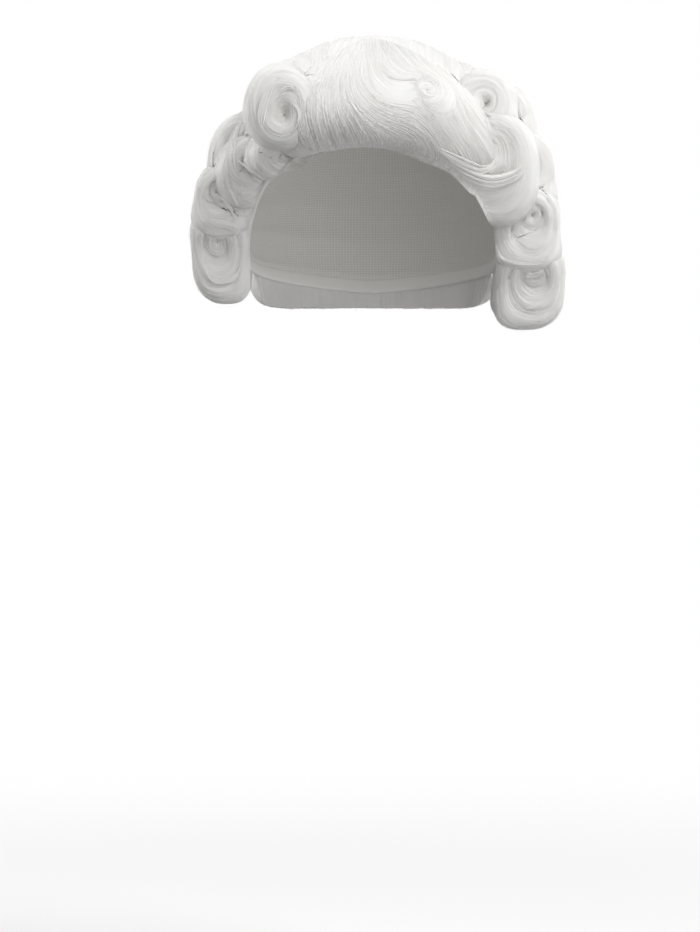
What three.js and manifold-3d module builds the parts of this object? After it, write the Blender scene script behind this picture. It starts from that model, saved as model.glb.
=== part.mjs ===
// A short powdered wig. Millimetres, +Z up, the forehead side faces -Y.
// The origin is the head seat: the top of the inside of the cap.

import * as THREE from "three";
import Module from "manifold-3d";

// Head that the cap fits
const headWidth = 152;
const headDepth = 192;
const headRise = 95;
const headSquareness = 2.3;

// Cap
const capWall = 2;
const capFrontDrop = 38;
const capNapeDrop = 132;
const clearance = 0.3;

// Combed dome over the cap
const crownThickness = 25.3;
const sideThickness = 10;
const backThickness = 16;
const domeShift = 6;
const domeCentreDrop = 80;
const domeSquareness = 2.2;
const domeRibDepth = 1.2;
const domeRibs = 14;
const crownDrop = 34;
const backHairFront = 12;
const backHairDrop = 128;

// Roll over the forehead
const rollPathWide = 70;
const rollPathDeep = 84;
const rollRise = 9;
const rollHairline = 41;
const rollDepth = 28;
const rollRibDepth = 0.9;
const rollLeanPower = 2.2;

// Roll under the nape
const napeRollRadius = 14;
const napeRollDrop = 128;
const napeRollInset = 3;

// Side curls
const curlRadius = 20;
const curlLength = 80;
const sideFall = 150;

// Facets
const capSides = 32;
const capRings = 7;
const domeSides = 32;
const domeRings = 11;
const rollSides = 14;
const curlSides = 12;

const hairColour = 0xf2f1ee;
const capColour = 0xe6e0d6;

const halfWidth = headWidth / 2;
const halfDepth = headDepth / 2;
const degree = Math.PI / 180;

// The cap's lower edge. turn is in degrees from the forehead; drop is a share
// of the way from the front edge down to the nape edge.
const capEdge = [
  { turn: 0, drop: 0 },
  { turn: 25, drop: 0.05 },
  { turn: 45, drop: 0.19 },
  { turn: 65, drop: 0.49 },
  { turn: 90, drop: 0.76 },
  { turn: 125, drop: 0.88 },
  { turn: 180, drop: 1 },
];

// The front roll, from the left temple to the right. turn is in degrees along
// its path; low is a share of rollHairline, high of rollRise, deep of rollDepth.
const rollSections = [
  { turn: -44, low: 1.24, high: -0.9, deep: 0.45 },
  { turn: -36, low: 1.17, high: 0.5, deep: 0.68 },
  { turn: -25, low: 1.08, high: 1.5, deep: 0.88 },
  { turn: -10, low: 1.0, high: 2.15, deep: 1.0 },
  { turn: 5, low: 1.01, high: 2.2, deep: 1.0 },
  { turn: 20, low: 1.09, high: 1.95, deep: 0.98 },
  { turn: 34, low: 1.33, high: 1.2, deep: 0.92 },
  { turn: 46, low: 1.58, high: -0.3, deep: 0.78 },
  { turn: 58, low: 1.76, high: -2.4, deep: 0.55 },
];

// The side curls, uppermost first: each one overlaps those below it.
// across is a share of half the head's width, forward of half its depth and
// down of sideFall: the middle of the open front end. wide and tall are shares
// of curlRadius, long of curlLength, and square is how boxy the curl is across.
// As shares of curlRadius, bow is how far the middle stands out, tuck how far
// the back end goes in and rise how far it goes up. eyeX and eyeZ place the
// innermost turn, as shares of the curl's own half sizes, cone is how far that
// turn stands forward, and skew is how far the lower side leans in.
const curls = [
  { name: "curl_left_top", side: -1, across: 0.73, forward: 0.95, down: 0.105, wide: 0.92,
    tall: 1.18, long: 1.25, square: 2.1, bow: 0.1, tuck: -0.1, rise: 0.1, skew: 0,
    eyeX: -0.22, eyeZ: -0.25, cone: 0 },
  { name: "curl_right_crest", side: 1, across: 0.42, forward: 0.97, down: 0.06, wide: 0.74,
    tall: 0.74, long: 0.42, square: 2.0, bow: 0, tuck: 0.2, rise: -1.3, skew: 0,
    eyeX: 0, eyeZ: 0, cone: 0.1 },
  { name: "curl_right_top", side: 1, across: 0.88, forward: 0.56, down: 0.11, wide: 0.86,
    tall: 1.05, long: 1.0, square: 2.2, bow: 0.1, tuck: 0.25, rise: 0.1, skew: 0,
    eyeX: 0, eyeZ: 0.05, cone: 0 },
  { name: "curl_left_temple", side: -1, across: 0.68, forward: 0.72, down: 0.32, wide: 0.95,
    tall: 0.62, long: 0.6, square: 2.3, bow: 0.3, tuck: 0, rise: 0.2, skew: 0,
    eyeX: -0.2, eyeZ: 0.4, cone: -0.2 },
  { name: "curl_right_temple", side: 1, across: 0.94, forward: 0.62, down: 0.36, wide: 1.32,
    tall: 1.6, long: 1.0, square: 2.3, bow: 0.1, tuck: 0.45, rise: 0.2, skew: 0,
    eyeX: -0.15, eyeZ: 0.4, cone: -0.1 },
  { name: "curl_right_upper", side: 1, across: 1.09, forward: 0.34, down: 0.165, wide: 0.64,
    tall: 0.85, long: 0.8, square: 2.2, bow: 0.1, tuck: 0.45, rise: 0, skew: 0,
    eyeX: 0, eyeZ: 0.1, cone: 0 },
  { name: "curl_left_ear", side: -1, across: 0.96, forward: 0.57, down: 0.38, wide: 0.74,
    tall: 0.9, long: 0.7, square: 2.3, bow: 0.3, tuck: 0, rise: 0.3, skew: 0,
    eyeX: 0, eyeZ: 0.45, cone: -0.2 },
  { name: "curl_left_outer", side: -1, across: 1.08, forward: 0.4, down: 0.33, wide: 0.72,
    tall: 1.3, long: 0.9, square: 2.3, bow: 0.05, tuck: 0.45, rise: 0.1, skew: 0,
    eyeX: 0, eyeZ: 0.45, cone: -0.2 },
  { name: "curl_right_outer", side: 1, across: 1.24, forward: 0.38, down: 0.4, wide: 0.76,
    tall: 1.2, long: 0.9, square: 2.4, bow: 0.05, tuck: 0.45, rise: 0.1, skew: 0,
    eyeX: 0, eyeZ: 0.45, cone: -0.2 },
  { name: "curl_left_cheek", side: -1, across: 1.2, forward: 0.46, down: 0.5, wide: 0.82,
    tall: 0.97, long: 0.95, square: 2.4, bow: 0.05, tuck: 0.45, rise: 0.2, skew: 0,
    eyeX: 0.1, eyeZ: 0.5, cone: -0.15 },
  { name: "curl_right_cheek", side: 1, across: 1.23, forward: 0.46, down: 0.61, wide: 0.98,
    tall: 1.15, long: 1.0, square: 2.6, bow: 0.02, tuck: 0.45, rise: 0.2, skew: 0,
    eyeX: 0.1, eyeZ: 0.55, cone: -0.15 },
  { name: "curl_left_jaw", side: -1, across: 1.21, forward: 0.4, down: 0.72, wide: 0.88,
    tall: 1.36, long: 1.0, square: 2.8, bow: 0, tuck: 0.4, rise: 0.2, skew: 0.12,
    eyeX: 0.1, eyeZ: 0.55, cone: -0.15 },
  { name: "curl_right_jaw", side: 1, across: 1.25, forward: 0.4, down: 0.845, wide: 1.06,
    tall: 1.22, long: 1.0, square: 2.8, bow: 0, tuck: 0.4, rise: 0.2, skew: 0.15,
    eyeX: 0.1, eyeZ: 0.55, cone: -0.15 },
];

// Outer form of a curl from its tucked back end to its open front end.
// at is the place along it and girth its half size, both as shares.
const curlBody = [
  { at: 1.0, girth: 0.42 },
  { at: 0.93, girth: 0.7 },
  { at: 0.78, girth: 0.92 },
  { at: 0.52, girth: 0.98 },
  { at: 0.36, girth: 0.95 },
  { at: 0.22, girth: 1.0 },
  { at: 0.05, girth: 0.98 },
];

// Turns of hair in the open end. girth is a share of the curl's half size and
// depth, into the curl, a share of curlRadius.
const curlTurns = [
  { girth: 0.88, depth: 0 },
  { girth: 0.74, depth: 0.05 },
  { girth: 0.66, depth: 0.3 },
  { girth: 0.58, depth: 0.12 },
  { girth: 0.4, depth: 0.18 },
  { girth: 0.3, depth: 0.7 },
];
const curlPitch = 0.14;

const wasm = await Module();
wasm.setup();

// Solids are made of closed rings of points between a first and a last point.

function ringFaces(ringCount, sides) {
  const faces = [];
  const lastRing = 1 + (ringCount - 1) * sides;
  const end = 1 + ringCount * sides;
  for (let i = 0; i < sides; i++) {
    const next = (i + 1) % sides;
    faces.push([0, 1 + i, 1 + next]);
    for (let ring = 0; ring < ringCount - 1; ring++) {
      const a = 1 + ring * sides + i;
      const b = 1 + ring * sides + next;
      faces.push([a, a + sides, b], [b, a + sides, b + sides]);
    }
    faces.push([lastRing + next, lastRing + i, end]);
  }
  return faces;
}

function signedVolume(points, faces) {
  const cross = new THREE.Vector3();
  let total = 0;
  for (const [a, b, c] of faces) {
    total += cross.crossVectors(points[a], points[b]).dot(points[c]);
  }
  return total / 6;
}

function ringSolid(start, rings, end) {
  const points = [start, ...rings.flat(), end];
  let faces = ringFaces(rings.length, rings[0].length);
  if (signedVolume(points, faces) < 0) {
    faces = faces.map(([a, b, c]) => [a, c, b]);
  }
  return new wasm.Manifold(new wasm.Mesh({
    numProp: 3,
    vertProperties: new Float32Array(points.flatMap((p) => [p.x, p.y, p.z])),
    triVerts: new Uint32Array(faces.flat()),
  }));
}

function boxSolid(low, high) {
  const corners = (z) => [
    new THREE.Vector3(low.x, low.y, z),
    new THREE.Vector3(high.x, low.y, z),
    new THREE.Vector3(high.x, high.y, z),
    new THREE.Vector3(low.x, high.y, z),
  ];
  const middle = (z) => new THREE.Vector3((low.x + high.x) / 2, (low.y + high.y) / 2, z);
  return ringSolid(middle(low.z), [corners(low.z), corners(high.z)], middle(high.z));
}

function meshOf(name, solid, colour) {
  const mesh = solid.getMesh();
  const geometry = new THREE.BufferGeometry();
  geometry.setAttribute("position", new THREE.BufferAttribute(mesh.vertProperties, 3));
  geometry.setIndex(new THREE.BufferAttribute(mesh.triVerts, 1));
  geometry.computeVertexNormals();
  const material = new THREE.MeshStandardMaterial({ color: colour, roughness: 0.75, metalness: 0 });
  const part = new THREE.Mesh(geometry, material);
  part.name = name;
  return part;
}

// Smooth value of a column between the rows of a table, by the key column.
function between(rows, key, column, value) {
  const last = rows.length - 1;
  let i = 0;
  while (i < last - 1 && value > rows[i + 1][key]) {
    i++;
  }
  const step = (j) => rows[Math.min(Math.max(j, 0), last)][column];
  const span = rows[i + 1][key] - rows[i][key];
  const t = THREE.MathUtils.clamp((value - rows[i][key]) / span, 0, 1);
  const inSlope = (step(i + 1) - step(i - 1)) / 2;
  const outSlope = (step(i + 2) - step(i)) / 2;
  const a = 2 * step(i) - 2 * step(i + 1) + inSlope + outSlope;
  const b = -3 * step(i) + 3 * step(i + 1) - 2 * inSlope - outSlope;
  return ((a * t + b) * t + inSlope) * t + step(i);
}

// Head form

function direction(turn, tilt) {
  return new THREE.Vector3(
    Math.sin(tilt) * Math.sin(turn),
    -Math.sin(tilt) * Math.cos(turn),
    Math.cos(tilt),
  );
}

function reach(ray, half, squareness) {
  const sum = Math.abs(ray.x / half.x) ** squareness
    + Math.abs(ray.y / half.y) ** squareness
    + Math.abs(ray.z / half.z) ** squareness;
  return sum ** (-1 / squareness);
}

const headHalf = new THREE.Vector3(halfWidth, halfDepth, headRise);

function headPoint(turn, tilt, offset) {
  const ray = direction(turn, tilt);
  const point = ray.multiplyScalar(reach(ray, headHalf, headSquareness) + offset);
  point.z -= headRise;
  return point;
}

// The tilt from the crown at which the head is a given drop below the seat.
function tiltAtDrop(turn, drop) {
  let low = 0;
  let high = Math.PI;
  for (let i = 0; i < 30; i++) {
    const tilt = (low + high) / 2;
    if (-headPoint(turn, tilt, 0).z < drop) {
      low = tilt;
    } else {
      high = tilt;
    }
  }
  return (low + high) / 2;
}

// Cap

function capEdgeDrop(turn) {
  const fromFront = Math.abs(turn > Math.PI ? turn - 2 * Math.PI : turn) / degree;
  const share = between(capEdge, "turn", "drop", fromFront);
  return capFrontDrop + share * (capNapeDrop - capFrontDrop);
}

function capRing(share, offset) {
  const ring = [];
  for (let i = 0; i < capSides; i++) {
    const turn = (i / capSides) * 2 * Math.PI;
    ring.push(headPoint(turn, share * tiltAtDrop(turn, capEdgeDrop(turn)), offset));
  }
  return ring;
}

function cap() {
  const shares = Array.from({ length: capRings }, (_, i) => (i + 1) / capRings);
  const outer = shares.map((share) => capRing(share, capWall));
  const inner = shares.map((share) => capRing(share, 0)).reverse();
  return ringSolid(headPoint(0, 0, capWall), [...outer, ...inner], headPoint(0, 0, 0));
}

// The head and cap as one closed form, grown by the clearance: what the hair
// is seated on. Its upper rings match the cap's, facet for facet.
function seat() {
  const grown = capWall + clearance;
  const rings = Array.from({ length: capRings }, (_, r) => capRing((r + 1) / capRings, grown));
  const lowerRings = 4;
  for (let r = 1; r < lowerRings; r++) {
    const ring = [];
    for (let i = 0; i < capSides; i++) {
      const turn = (i / capSides) * 2 * Math.PI;
      const edge = tiltAtDrop(turn, capEdgeDrop(turn));
      ring.push(headPoint(turn, edge + ((Math.PI - edge) * r) / lowerRings, grown));
    }
    rings.push(ring);
  }
  return ringSolid(headPoint(0, 0, grown), rings, headPoint(0, Math.PI, grown));
}

// Combed dome

const domeHalf = new THREE.Vector3(
  halfWidth + capWall + sideThickness,
  halfDepth + capWall + backThickness - domeShift,
  domeCentreDrop + capWall + crownThickness,
);

function domePoint(turn, tilt) {
  const ray = direction(turn, tilt);
  const ribs = domeRibDepth * Math.sin(tilt) * Math.abs(Math.sin((domeRibs * turn) / 2));
  const point = ray.multiplyScalar(reach(ray, domeHalf, domeSquareness) - ribs);
  point.y += domeShift;
  point.z -= domeCentreDrop;
  return point;
}

function dome() {
  const rings = [];
  for (let r = 1; r < domeRings; r++) {
    const ring = [];
    for (let i = 0; i < domeSides; i++) {
      ring.push(domePoint((i / domeSides) * 2 * Math.PI, (r / domeRings) * Math.PI));
    }
    rings.push(ring);
  }
  return ringSolid(domePoint(0, 0), rings, domePoint(0, Math.PI));
}

// Rolls: sections across a path around the head

function rollSection(centre, outward, halfOut, halfUp) {
  const ring = [];
  for (let i = 0; i < rollSides; i++) {
    const angle = (i / rollSides) * 2 * Math.PI;
    const point = centre.clone().addScaledVector(outward, halfOut * Math.cos(angle));
    point.z += halfUp * Math.sin(angle);
    ring.push(point);
  }
  return ring;
}

// How far out the combed dome is at a height, in the direction turn.
function domeReach(turn, height) {
  const level = THREE.MathUtils.clamp((height + domeCentreDrop) / domeHalf.z, 0, 1);
  const room = (1 - level ** domeSquareness) ** (1 / domeSquareness);
  return reach(direction(turn, Math.PI / 2), domeHalf, domeSquareness) * room
    - domeShift * Math.cos(turn);
}

// The front roll's top leans back until it meets the combed dome.
function frontRoll(growth) {
  const rings = [];
  const first = rollSections[0].turn;
  const last = rollSections[rollSections.length - 1].turn;
  const steps = 24;
  for (let i = 0; i <= steps; i++) {
    const place = first + ((last - first) * i) / steps;
    const low = -rollHairline * between(rollSections, "turn", "low", place);
    const high = rollRise * between(rollSections, "turn", "high", place);
    const deep = rollDepth * between(rollSections, "turn", "deep", place);
    const rib = i % 2 === 0 ? 0 : rollRibDepth;
    const turn = place * degree;
    const outward = direction(turn, Math.PI / 2);
    const centre = new THREE.Vector3(
      rollPathWide * Math.sin(turn),
      -rollPathDeep * Math.cos(turn),
      (low + high) / 2,
    );
    const lean = Math.max(0, centre.dot(outward) - domeReach(turn, high));
    const ring = rollSection(centre, outward, deep - rib + growth, (high - low) / 2 - rib + growth);
    ring.forEach((point, side) => {
      const up = (1 + Math.sin((side / rollSides) * 2 * Math.PI)) / 2;
      point.addScaledVector(outward, -lean * up ** rollLeanPower);
    });
    rings.push(ring);
  }
  return ringSolid(middleOf(rings[0]), rings, middleOf(rings[steps]));
}

function napeRoll(growth) {
  const rings = [];
  const first = 118;
  const last = 242;
  const steps = 16;
  for (let i = 0; i <= steps; i++) {
    const turn = (first + ((last - first) * i) / steps) * degree;
    const taper = 1 - 0.35 * Math.abs((2 * i) / steps - 1) ** 4;
    const outward = new THREE.Vector3(Math.sin(turn), -Math.cos(turn), 0);
    const base = domePoint(turn, Math.PI / 2);
    const centre = new THREE.Vector3(base.x, base.y, -napeRollDrop);
    centre.addScaledVector(outward, -napeRollInset - napeRollRadius);
    rings.push(rollSection(centre, outward, napeRollRadius * taper + growth,
      napeRollRadius * taper + growth));
  }
  return ringSolid(middleOf(rings[0]), rings, middleOf(rings[steps]));
}

function middleOf(ring) {
  const sum = new THREE.Vector3();
  ring.forEach((point) => sum.add(point));
  return sum.divideScalar(ring.length);
}

// Side curls

function curlCentre(curl, at) {
  const bow = curl.bow * curlRadius * Math.sin(Math.PI * Math.min(1, 1.1 * at));
  const tuck = curl.tuck * curlRadius * at * at;
  return new THREE.Vector3(
    curl.side * (curl.across * halfWidth + bow - tuck),
    -curl.forward * halfDepth + at * curl.long * curlLength,
    -curl.down * sideFall + curl.rise * curlRadius * at,
  );
}

// A ring square to the curl's run. shift moves it towards the eye, forward
// moves it out of the open end, and spiral draws it in over one turn.
function curlRing(curl, at, girth, { shift = 0, forward = 0, spiral = 0, growth = 0 }) {
  const step = 0.02;
  const centre = curlCentre(curl, at);
  const run = curlCentre(curl, at + step).sub(curlCentre(curl, at - step)).normalize();
  const across = new THREE.Vector3().crossVectors(run, new THREE.Vector3(0, 0, 1)).normalize();
  across.multiplyScalar(curl.side);
  const up = new THREE.Vector3().crossVectors(across, run).multiplyScalar(curl.side).normalize();
  const halfAcross = curl.wide * curlRadius;
  const halfUp = curl.tall * curlRadius;
  centre.addScaledVector(across, shift * curl.eyeX * halfAcross);
  centre.addScaledVector(up, shift * curl.eyeZ * halfUp);
  centre.addScaledVector(run, -forward);
  const ring = [];
  for (let i = 0; i < curlSides; i++) {
    const angle = (i / curlSides) * 2 * Math.PI;
    const ray = { x: Math.cos(angle), y: 0, z: Math.sin(angle) };
    const round = reach(ray, { x: 1, y: 1, z: 1 }, curl.square);
    const share = (girth - (spiral * i) / curlSides) * round;
    const tall = (share * halfUp + growth) * ray.z;
    const lean = (curl.skew * girth * Math.min(tall, 0) ** 2) / halfUp;
    ring.push(centre.clone()
      .addScaledVector(across, (share * halfAcross + growth) * ray.x - lean)
      .addScaledVector(up, tall));
  }
  return ring;
}

function curlBodyRings(curl, growth) {
  return curlBody.map((row) => curlRing(curl, row.at, row.girth, { growth }));
}

function curlSolid(curl) {
  const rings = curlBodyRings(curl, 0);
  for (const turn of curlTurns) {
    const stand = curl.cone * (1 - turn.girth);
    rings.push(curlRing(curl, 0, turn.girth, {
      shift: 1 - turn.girth,
      forward: (stand - turn.depth) * curlRadius,
      spiral: curlPitch,
    }));
  }
  return ringSolid(middleOf(rings[0]), rings, middleOf(rings[rings.length - 1]));
}

// The curl without its open end, grown by the clearance, for cutting others.
function curlClearance(curl) {
  const rings = curlBodyRings(curl, clearance);
  const rim = curlTurns[0].girth;
  for (const girth of [rim, rim / 2]) {
    const forward = Math.max(curl.cone, 0) * (1 - girth) * curlRadius + clearance;
    rings.push(curlRing(curl, 0, girth, { shift: 1 - girth, forward, growth: clearance }));
  }
  const back = curlCentre(curl, 1 + clearance / (curl.long * curlLength));
  return ringSolid(back, rings, middleOf(rings[rings.length - 1]));
}

// Assembly: each piece is seated on the cap and on the pieces over it

const group = new THREE.Group();
group.add(meshOf("wig_cap", cap(), capColour));

let taken = seat();
for (const curl of curls) {
  group.add(meshOf(curl.name, curlSolid(curl).subtract(taken), hairColour));
  taken = taken.add(curlClearance(curl));
}

group.add(meshOf("front_roll", frontRoll(0).subtract(taken), hairColour));
taken = taken.add(frontRoll(clearance));

group.add(meshOf("nape_roll", napeRoll(0).subtract(taken), hairColour));
taken = taken.add(napeRoll(clearance));

const far = headWidth + headDepth + curlLength;
const combed = dome().subtract(taken);
const crownSpace = boxSolid(
  new THREE.Vector3(-far, -far, -crownDrop),
  new THREE.Vector3(far, far, far),
);
const backSpace = boxSolid(
  new THREE.Vector3(-far, backHairFront, -backHairDrop),
  new THREE.Vector3(far, far, -crownDrop - clearance),
);
group.add(meshOf("crown_hair", combed.intersect(crownSpace), hairColour));
group.add(meshOf("back_hair", combed.intersect(backSpace), hairColour));

export default group;
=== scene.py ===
"""The looks of a short powdered wig: combed and curled white hair on a woven cap."""

import math

import bpy
import numpy as np
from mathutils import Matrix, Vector
from mathutils.bvhtree import BVHTree


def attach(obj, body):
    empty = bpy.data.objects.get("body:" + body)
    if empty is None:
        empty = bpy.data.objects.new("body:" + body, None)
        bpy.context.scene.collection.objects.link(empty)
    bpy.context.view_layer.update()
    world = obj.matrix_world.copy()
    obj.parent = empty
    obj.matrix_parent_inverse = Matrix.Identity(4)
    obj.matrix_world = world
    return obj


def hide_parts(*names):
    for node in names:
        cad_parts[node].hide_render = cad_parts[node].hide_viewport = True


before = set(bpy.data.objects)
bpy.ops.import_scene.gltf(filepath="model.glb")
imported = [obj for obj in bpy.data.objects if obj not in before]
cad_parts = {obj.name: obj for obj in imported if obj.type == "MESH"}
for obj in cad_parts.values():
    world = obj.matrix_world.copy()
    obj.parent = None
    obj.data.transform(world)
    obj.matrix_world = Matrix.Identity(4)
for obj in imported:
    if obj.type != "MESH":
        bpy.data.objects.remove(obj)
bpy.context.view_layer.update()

MM = 0.001
DEG = math.pi / 180

# The photograph's frame: where the head seat is in it, and its scale
IMAGE_WIDTH, IMAGE_HEIGHT = 700, 932
SEAT_PX = (373, 80)
PIXEL = 0.6 * MM
CAMERA_DISTANCE = 5.0
WIG_FRONT = -80 * MM
SENSOR = 36.0

# Room light: where it is brightest, how bright it is on average, and how much that changes
WORLD_LIGHT = (0.7, 0.1, 0.7)
WORLD_LEVEL = 0.51
WORLD_SWING = 0.36

# The head and cap, as the cap's node has them
CAP_WALL = 2 * MM
CAP_HALF = np.array([76, 96, 95]) * MM
CAP_SQUARENESS = 2.3
CAP_FRONT_DROP = 38 * MM
CAP_NAPE_DROP = 132 * MM
CLEARANCE = 0.3 * MM
CAP_EDGE = {
    "turn": [0, 25, 45, 65, 90, 125, 180],
    "drop": [0, 0.05, 0.19, 0.49, 0.76, 0.88, 1],
}

# The combed dome
DOME_HALF = np.array([88, 108, 107.3]) * MM
DOME_SQUARENESS = 2.2
DOME_SHIFT = 6 * MM
DOME_DROP = 80 * MM

# The front roll
ROLL_PATH = (70 * MM, 84 * MM)
ROLL_RISE = 9 * MM
ROLL_HAIRLINE = 41 * MM
ROLL_DEPTH = 28 * MM
ROLL_LEAN_POWER = 2.2
ROLL_SECTIONS = {
    "turn": [-54, -44, -36, -25, -10, 5, 20, 34, 46, 58, 74],
    "low": [1.3, 1.24, 1.17, 1.08, 1.0, 1.01, 1.09, 1.33, 1.58, 1.76, 1.85],
    "high": [-2.2, -0.9, 0.5, 1.5, 2.15, 2.2, 1.95, 1.2, -0.3, -2.4, -4.4],
    "deep": [0.34, 0.45, 0.68, 0.88, 1.0, 1.0, 0.98, 0.92, 0.78, 0.55, 0.35],
}

# The nape roll
NAPE_RADIUS = 14 * MM
NAPE_DROP = 128 * MM
NAPE_INSET = 3 * MM
NAPE_ENDS = (118, 242)

# The side curls, as the frame has them
CURL_RADIUS = 20 * MM
CURL_LENGTH = 80 * MM
SIDE_FALL = 150 * MM
CURL_COLUMNS = ("name", "side", "across", "forward", "down", "wide", "tall", "long", "square",
                "bow", "tuck", "rise", "skew", "eye_x", "eye_z", "cone", "hole", "layer", "relief", "rim")
CURL_ROWS = [
    ("curl_left_top", -1, 0.73, 0.95, 0.105, 0.92, 1.18, 1.25, 2.1, 0.1, -0.1, 0.1, 0,
     -0.22, -0.25, 0, 0.36, 0.42, 0.3, 0.4),
    ("curl_right_crest", 1, 0.42, 0.97, 0.06, 0.74, 0.74, 0.42, 2.0, 0, 0.2, -1.3, 0,
     0, 0, 0.1, 0.08, 0.4, 0.08, 0.6),
    ("curl_right_top", 1, 0.88, 0.56, 0.11, 0.86, 1.05, 1.0, 2.2, 0.1, 0.25, 0.1, 0,
     0, 0.05, 0, 0.3, 0.36, 0.3, 0.45),
    ("curl_left_temple", -1, 0.68, 0.72, 0.32, 0.95, 0.62, 0.6, 2.3, 0.3, 0, 0.2, 0,
     -0.2, 0.4, -0.2, 0.1, 0.4, 0.4, 0.55),
    ("curl_right_temple", 1, 0.94, 0.62, 0.36, 1.32, 1.6, 1.0, 2.3, 0.1, 0.45, 0.2, 0,
     -0.15, 0.4, -0.1, 0.1, 0.34, 0.35, 0.6),
    ("curl_right_upper", 1, 1.09, 0.34, 0.165, 0.64, 0.85, 0.8, 2.2, 0.1, 0.45, 0, 0,
     0, 0.1, 0, 0.25, 0.4, 0.2, 0.5),
    ("curl_left_ear", -1, 0.96, 0.57, 0.38, 0.74, 0.9, 0.7, 2.3, 0.3, 0, 0.3, 0,
     0, 0.45, -0.2, 0.1, 0.4, 0.4, 0.5),
    ("curl_left_outer", -1, 1.08, 0.4, 0.33, 0.72, 1.3, 0.9, 2.3, 0.05, 0.45, 0.1, 0,
     0, 0.45, -0.2, 0.1, 0.4, 0.35, 0.5),
    ("curl_right_outer", 1, 1.24, 0.38, 0.4, 0.76, 1.2, 0.9, 2.4, 0.05, 0.45, 0.1, 0,
     0, 0.45, -0.2, 0.1, 0.4, 0.3, 0.5),
    ("curl_left_cheek", -1, 1.2, 0.46, 0.5, 0.82, 0.97, 0.95, 2.4, 0.05, 0.45, 0.2, 0,
     0.1, 0.5, -0.15, 0.1, 0.42, 0.5, 0.45),
    ("curl_right_cheek", 1, 1.23, 0.46, 0.61, 0.98, 1.15, 1.0, 2.6, 0.02, 0.45, 0.2, 0,
     0.1, 0.55, -0.15, 0.1, 0.4, 0.5, 0.45),
    ("curl_left_jaw", -1, 1.21, 0.4, 0.72, 0.88, 1.36, 1.0, 2.8, 0, 0.4, 0.2, 0.12,
     0.1, 0.55, -0.15, 0.1, 0.34, 0.5, 0.45),
    ("curl_right_jaw", 1, 1.25, 0.4, 0.845, 1.06, 1.22, 1.0, 2.8, 0, 0.4, 0.2, 0.15,
     0.1, 0.55, -0.15, 0.1, 0.38, 0.5, 0.45),
]
CURLS = [dict(zip(CURL_COLUMNS, row)) for row in CURL_ROWS]
CREST = CURLS[1]
CURL_BODY = {
    "turn": [0, 0.05, 0.22, 0.36, 0.52, 0.78, 0.93, 1],
    "girth": [0.97, 0.98, 1, 0.95, 0.98, 0.92, 0.7, 0.42],
}
SEAM_STEP = 0.06

# Locks of hair: width across the hair, how long they run (on a curl, how often they change in
# a third of a turn), and depth of the furrows between them
LOCK_SCALES = [
    (11.0 * MM, 90 * MM, 0.35 * MM),
    (4.5 * MM, 60 * MM, 0.18 * MM),
    (2.0 * MM, 40 * MM, 0.09 * MM),
]
CURL_LOCK_SCALES = [
    (7.0 * MM, 1.0, 0.45 * MM),
    (3.2 * MM, 1.4, 0.28 * MM),
    (1.6 * MM, 1.8, 0.14 * MM),
]
EDGE_SINK = 2.2 * MM
PARTING_SINK = 0.8 * MM
BACKING = 6 * MM
# How much darker the colour is painted towards the hollow of a curl's innermost turn, as painted shade
EYE_SHADE = 1.1
SWIRL = 14 * MM
SWIRL_REACH = 45 * MM
STRAND_RADIUS = 0.14 * MM
STRAND_POINTS = 8
FREE_SHARE = 0.08
BACKING_COLUMNS = 8
CURL_STRANDS = 470
ROLL_STRANDS = 1700
NAPE_STRANDS = 500
CROWN_STRANDS = 1400
BACK_STRANDS = 1200

# Wisps: how many points each strand has, over how many of them to each side it is evened out,
# the y that it is dropped from, and its y where it meets nothing
WISP_POINTS = 16
WISP_EVENING = 4
DROP_FROM = -300 * MM
DROP_MISSED = -60 * MM

# How near to each other two masses of hair begin to run together
MERGE = 21 * MM

# Pockets in the hair seen from the front: x, z, radius and depth in mm
POCKETS = [
    ("crown_locks", -42, 8, 6, 5),
    ("curl_left_top_hair", -42, 8, 6, 5),
    ("front_roll_hair", -42, 7, 6, 4),
]

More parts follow.
